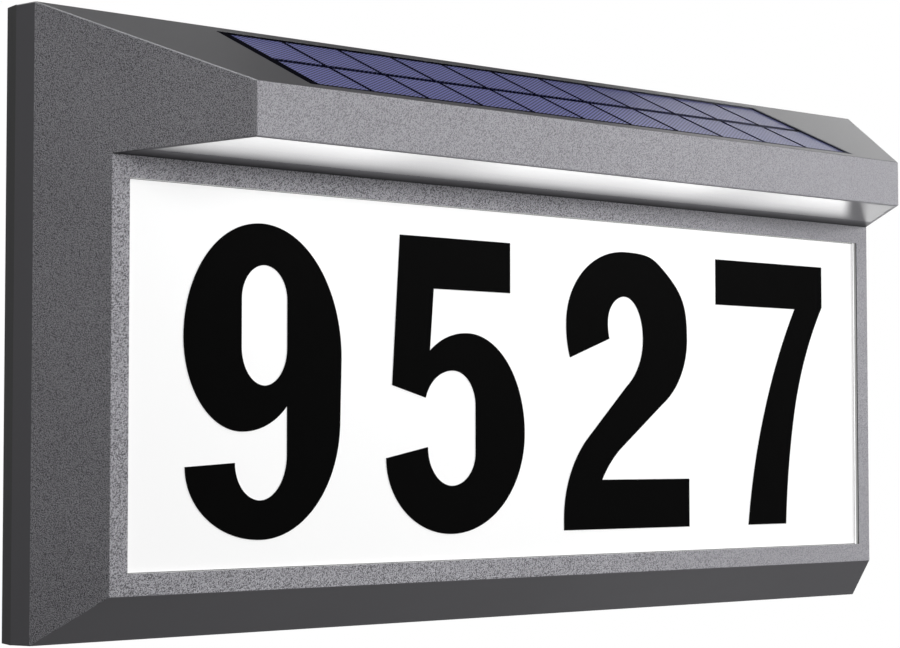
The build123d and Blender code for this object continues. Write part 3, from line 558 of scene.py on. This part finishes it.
dress(["light_lens"], lit_lens())


# ---- Small and inner pieces ----
def plain(name, base, roughness, grain, spread=0.12, bump=0.15, metallic=0.0):
    """A material with a little unevenness in its colour and surface, at the grain's size."""
    surface = Surface(name, base, roughness, metallic=metallic)
    texture = surface.noise(grain)
    surface.tint(base, texture, spread)
    surface.bump(texture, strength=bump, distance=grain / 8)
    return surface


def metal(name, base, roughness, grain, spread=0.05, bump=0.05):
    return plain(name, base, roughness, grain, spread, bump, metallic=1.0)


black_silicone = plain("black_silicone", colour(38, 38, 40), roughness=0.6, grain=0.8 * MM)
foam_tape = plain("foam_tape", colour(52, 52, 54), roughness=0.9, grain=0.6 * MM, spread=0.25, bump=0.4)
zinc = metal("zinc_steel", colour(176, 178, 184), roughness=0.35, grain=0.5 * MM, spread=0.08, bump=0.1)
lamp_board = plain("lamp_board", colour(235, 235, 228), roughness=0.35, grain=3 * MM, spread=0.03, bump=0.05)
package = plain("lamp_package", colour(240, 226, 160), roughness=0.3, grain=0.6 * MM, spread=0.05, bump=0.05)
green_board = plain("green_board", colour(24, 92, 48), roughness=0.35, grain=2 * MM, bump=0.05)
black_resin = plain("black_resin", colour(34, 34, 36), roughness=0.5, grain=0.5 * MM)
nylon = plain("nylon", colour(228, 224, 210), roughness=0.45, grain=1 * MM, spread=0.04)
ferrite = plain("ferrite", colour(62, 62, 64), roughness=0.7, grain=0.3 * MM, spread=0.2, bump=0.3)
can_aluminium = metal("can_aluminium", colour(188, 190, 194), roughness=0.3, grain=2 * MM)
can_steel = metal("can_steel", colour(184, 184, 186), roughness=0.28, grain=4 * MM)
nickel = metal("nickel", colour(180, 176, 166), roughness=0.35, grain=1 * MM, spread=0.08, bump=0.1)
shrink_film = plain("shrink_film", colour(42, 86, 150), roughness=0.25, grain=5 * MM, spread=0.08, bump=0.1)
strap_nylon = plain("strap_nylon", colour(48, 48, 50), roughness=0.5, grain=1 * MM)
lead_sleeve = plain("lead_sleeve", colour(36, 36, 38), roughness=0.4, grain=1 * MM)

dress(["cover_gasket", "switch_button"], black_silicone)
dress(["plate_tape", "panel_tape"], foam_tape)
dress(["cover_screws", "led_screws", "board_screws", "strap_screws"], zinc)
dress(["led_board"], lamp_board)
dress(["leds"], package)
dress(["control_board"], green_board)
dress(["switch_body", "charge_chips"], black_resin)
dress(["switch_plunger", "board_sockets", "lead_plugs"], nylon)
dress(["boost_coil"], ferrite)
dress(["capacitor"], can_aluminium)
dress(["battery_cells"], can_steel)
dress(["battery_tabs"], nickel)
dress(["battery_film"], shrink_film)
dress(["battery_strap"], strap_nylon)
dress(["battery_lead", "panel_lead", "lamp_lead"], lead_sleeve)

# ---- Floor and background ----
FLOOR_DROP = 0.9            # below the sign
FLOOR_SIZE = 12.0
SHADOW_REACH = 1.5          # from the floor's middle
SHADOW_WHITE = 0.78
FLOOR_IN_GLOSS = 0.6
WORLD_IN_GLOSS = 0.06
AMBIENT = 0.08


def seen_white(nodes, share):
    """1 for rays from the camera, this share for rays in gloss or through glass, and 0 for others."""
    path = nodes.add("ShaderNodeLightPath").outputs
    gloss = nodes.math("MAXIMUM", path["Is Glossy Ray"], path["Is Transmission Ray"])
    return nodes.math("MAXIMUM", path["Is Camera Ray"], nodes.math("MULTIPLY", gloss, share))


def studio_floor():
    """Pale floor that stays white to the camera, a little less near the object so that its shadow shows."""
    mesh = bpy.data.meshes.new("floor")
    half = FLOOR_SIZE / 2
    corners = [(-half, -half, 0), (half, -half, 0), (half, half, 0), (-half, half, 0)]
    mesh.from_pydata(corners, [], [(0, 1, 2, 3)])
    floor = bpy.data.objects.new("floor", mesh)
    floor.location = (middle.x, middle.y, cad_low.z - FLOOR_DROP)
    bpy.context.scene.collection.objects.link(floor)
    surface = Surface("floor", grey(0.25), roughness=0.9)
    distance = surface.add("ShaderNodeVectorMath", operation="LENGTH")
    surface.put(distance.inputs[0], surface.place)
    reach = (SHADOW_REACH, 2 * SHADOW_REACH)
    whiteness = surface.map_range(distance.outputs["Value"], reach, (SHADOW_WHITE, 1.0))
    surface.glow(grey(1.0), surface.math("MULTIPLY", whiteness, seen_white(surface, FLOOR_IN_GLOSS)))
    mesh.materials.append(surface.material)


def studio_world():
    """White to the camera, and dim to everything that it lights."""
    world = bpy.data.worlds.new("studio")
    world.use_nodes = True
    nodes = Nodes(world.node_tree)
    background = nodes.tree.nodes["Background"]
    background.inputs["Color"].default_value = grey(1.0)
    strength = nodes.map_range(seen_white(nodes, WORLD_IN_GLOSS), (0.0, 1.0), (AMBIENT, 1.0))
    nodes.put(background.inputs["Strength"], strength)
    bpy.context.scene.world = world


# ---- Lights ----
def area_light(name, spot, size, watts, target=middle, depth=None):
    """A soft light that faces the middle of the sign, or a target, and isn't seen itself."""
    data = bpy.data.lights.new(name, "AREA")
    data.size = size
    data.energy = watts
    if depth:
        data.shape = "RECTANGLE"
        data.size_y = depth
    light = bpy.data.objects.new(name, data)
    light.visible_camera = False
    light.location = spot
    direction = Vector(target) - Vector(spot)
    light.rotation_euler = direction.to_track_quat("-Z", "Y").to_euler()
    bpy.context.scene.collection.objects.link(light)
    return light


def studio_lights():
    """Key from the right and fill from the left, with small lights behind and above for the edges."""
    area_light("key", spot=(0.52, -0.60, 0.08), size=0.35, watts=5.7)
    area_light("fill", spot=(-0.28, -0.51, 0.20), size=0.30, watts=1.35)
    area_light("kicker", spot=(0.86, 0.52, -0.50), size=0.07, watts=1.9)
    edge = area_light("edge", spot=(-0.30, -0.06, 0.95), size=0.12, watts=8.0)
    edge.visible_diffuse = False
    area_light("sheen", spot=(1.05, 0.50, 0.32), size=0.45, watts=1.8)
    area_light("rear", spot=(0.35, 1.10, 0.25), size=0.8, watts=3.5)


def sign_lamp():
    """The sign's own lamp, just under its lens, which shines straight down."""
    lens_middle = (lens_low + lens_high) / 2
    below = Vector((lens_middle.x, lens_middle.y, lens_low.z - 1 * MM))
    straight_down = below - Vector((0.0, 0.0, 0.1))
    area_light("lamp", spot=below, size=0.23, watts=0.019, target=straight_down, depth=0.016)


# ---- Camera ----
def photograph_camera():
    """The camera that took the photograph, as solved from the sign's edges and corners."""
    data = bpy.data.cameras.new("photograph")
    data.sensor_width = SENSOR_WIDTH_MM
    data.lens = FOCAL_PIXELS * SENSOR_WIDTH_MM / IMAGE_WIDTH
    data.clip_start = 0.01
    reach = math.cos(CAMERA_PITCH)
    rise = math.sin(CAMERA_PITCH)
    forward = Vector((math.sin(CAMERA_YAW) * reach, math.cos(CAMERA_YAW) * reach, rise))
    level = Vector((math.cos(CAMERA_YAW), -math.sin(CAMERA_YAW), 0.0))
    upright = level.cross(forward)
    right = math.cos(CAMERA_ROLL) * level + math.sin(CAMERA_ROLL) * upright
    up = math.cos(CAMERA_ROLL) * upright - math.sin(CAMERA_ROLL) * level
    turn = Matrix((right, up, -forward)).transposed()
    camera = bpy.data.objects.new("photograph", data)
    camera.matrix_world = Matrix.Translation(CAMERA_SPOT) @ turn.to_4x4()
    bpy.context.scene.collection.objects.link(camera)
    bpy.context.scene.camera = camera


studio_floor()
studio_world()
studio_lights()
sign_lamp()
photograph_camera()
bpy.context.scene.view_settings.view_transform = "Standard"
